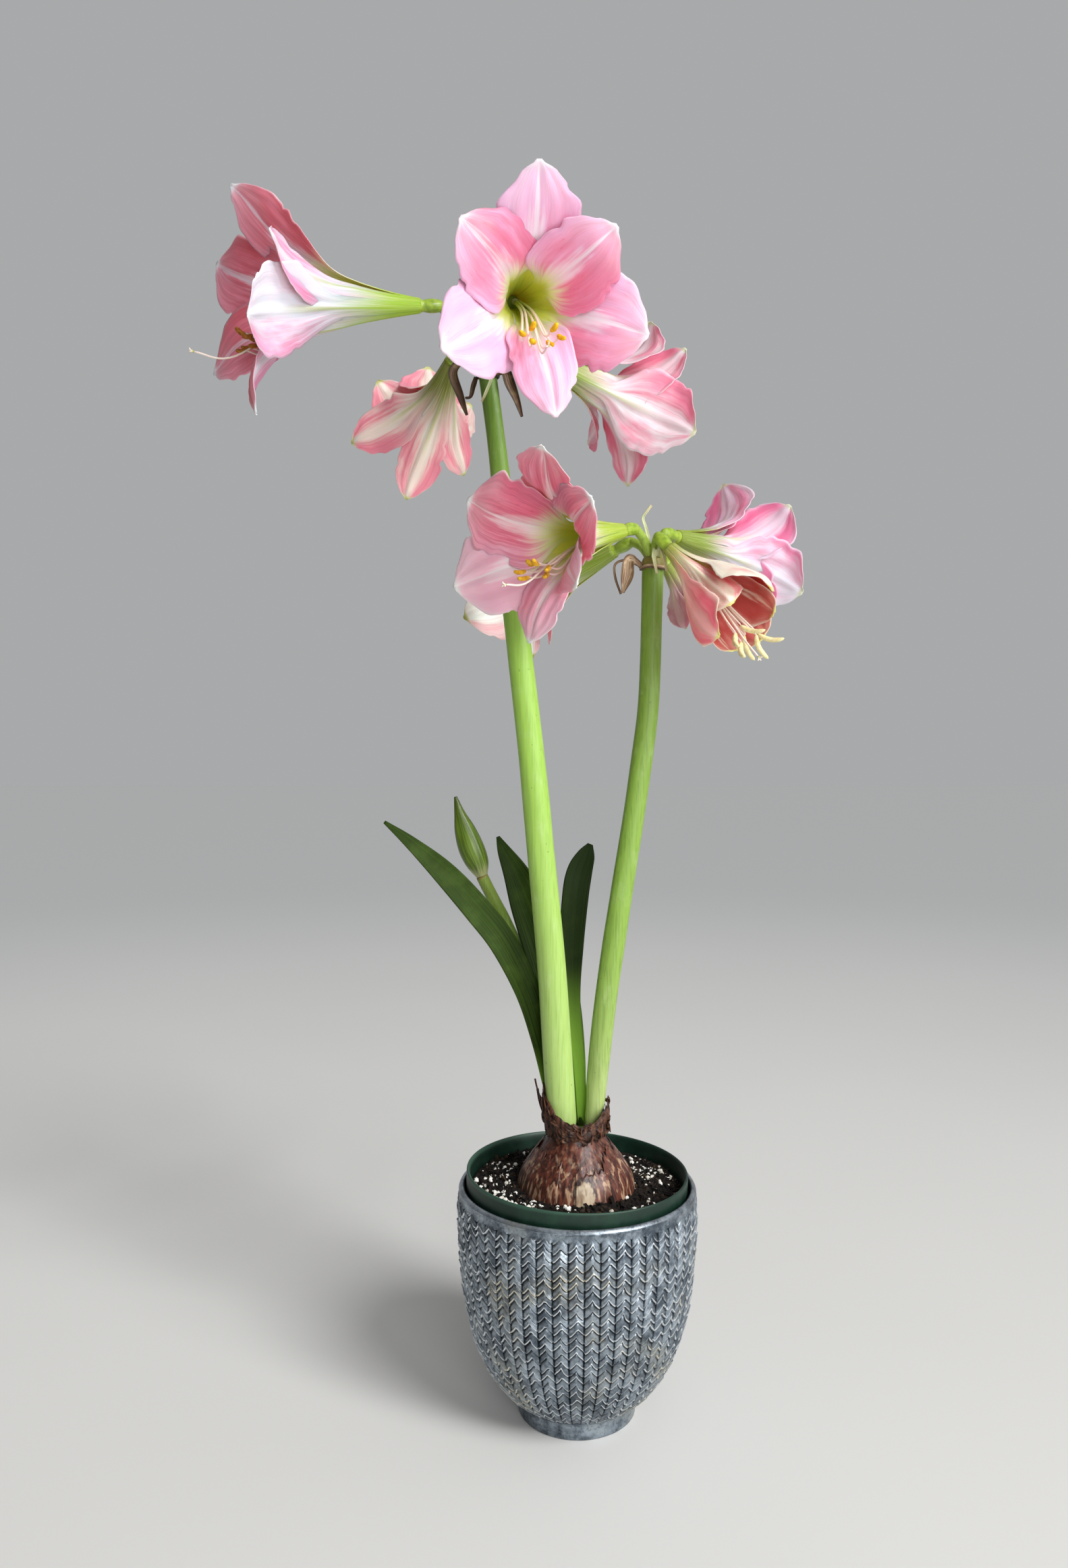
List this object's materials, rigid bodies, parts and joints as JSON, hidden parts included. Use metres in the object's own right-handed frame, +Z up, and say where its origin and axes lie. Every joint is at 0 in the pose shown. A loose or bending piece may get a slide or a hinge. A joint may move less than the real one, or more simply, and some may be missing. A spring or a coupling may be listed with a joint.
{
  "type": "potted amaryllis in bloom",
  "caption": "Flowering amaryllis bulb in a grower's pot inside a ribbed glazed cover pot, with tall stalks, strap leaves and trumpet blooms.",
  "frame": {"origin": "centre of the cover pot's foot, on the surface it stands on", "axes": "+Z up along the pot's axis; +X to the right and -Y to the front as the plant is viewed"},
  "size_m": [0.4547, 0.2826, 0.891],
  "materials": {
    "pewter_glaze": "pewter-grey metallic glaze over pressed chevron relief",
    "green_plastic": "dark green moulded plastic, matt",
    "potting_mix": "damp dark potting mix with white perlite",
    "bulb_skin": "papery red-brown tunic with darker veins",
    "flower_stalk": "smooth fleshy light green, waxy",
    "bud_skin": "yellow-green sheath flushed with red",
    "leaf_blade": "dark green leathery blade, satin",
    "dry_bract": "dry curled papery brown",
    "petal": "soft pink with white midrib and edges, green throat",
    "petal_half_open": "pale pink and yellow-green outside, salmon-red inside",
    "stamen": "pale filaments with yellow pollen"
  },
  "bodies": {
    "root": {"cachepot": "pewter_glaze", "nursery_pot": "green_plastic", "soil": "potting_mix", "bulb": "bulb_skin", "scape_tall": "flower_stalk", "scape_short": "flower_stalk", "scape_young": "flower_stalk", "bud": "bud_skin", "leaf_long_left": "leaf_blade", "leaf_centre": "leaf_blade", "leaf_right": "leaf_blade", "leaf_tip": "leaf_blade", "spathe_tall": "dry_bract", "spathe_short": "dry_bract", "bloom_1": "petal", "bloom_2": "petal", "bloom_3": "petal", "bloom_4": "petal", "bloom_5": "petal", "bloom_6": "petal", "bloom_7": "petal", "bloom_8": "petal_half_open", "bloom_9": "petal", "stamens_1": "stamen", "stamens_2": "stamen", "stamens_3": "stamen", "stamens_4": "stamen", "stamens_5": "stamen", "stamens_6": "stamen", "stamens_7": "stamen", "stamens_8": "stamen", "stamens_9": "stamen"}
  },
  "joints": []
}
